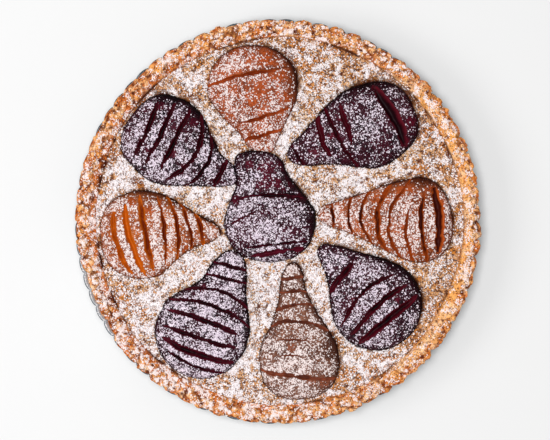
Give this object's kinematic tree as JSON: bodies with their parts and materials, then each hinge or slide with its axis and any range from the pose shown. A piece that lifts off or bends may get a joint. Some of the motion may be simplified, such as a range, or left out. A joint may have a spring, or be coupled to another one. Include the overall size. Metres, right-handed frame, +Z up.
{
  "type": "fruit tart",
  "caption": "Round baked fruit tart in its fluted tin: a thick scalloped crust filled with almond frangipane, with halved, slit pears laid in a ring round a centre one.",
  "frame": {"origin": "the middle of the tin's flat underside", "axes": "+Z up; +X to the right and +Y to the back of the tart as the picture shows it from above; the front is towards -Y"},
  "size_m": [0.2811, 0.2798, 0.0393],
  "materials": {
    "tin": "dark non-stick coating, satin",
    "crust": "baked shortcrust, rough and lumpy, lightly dusted with sugar",
    "frangipane": "baked almond filling, matt, dusted with sugar",
    "pear_red": "baked dark red pear skin, matt, dusted with sugar",
    "pear_amber": "baked amber pear skin, matt, dusted with sugar"
  },
  "bodies": {
    "root": {"tin": "tin", "crust": "crust", "frangipane": "frangipane", "pear_back": "pear_amber", "pear_back_right": "pear_red", "pear_right": "pear_amber", "pear_front_right": "pear_red", "pear_front": "pear_amber", "pear_front_left": "pear_red", "pear_left": "pear_amber", "pear_back_left": "pear_red", "pear_centre": "pear_red"}
  },
  "joints": []
}
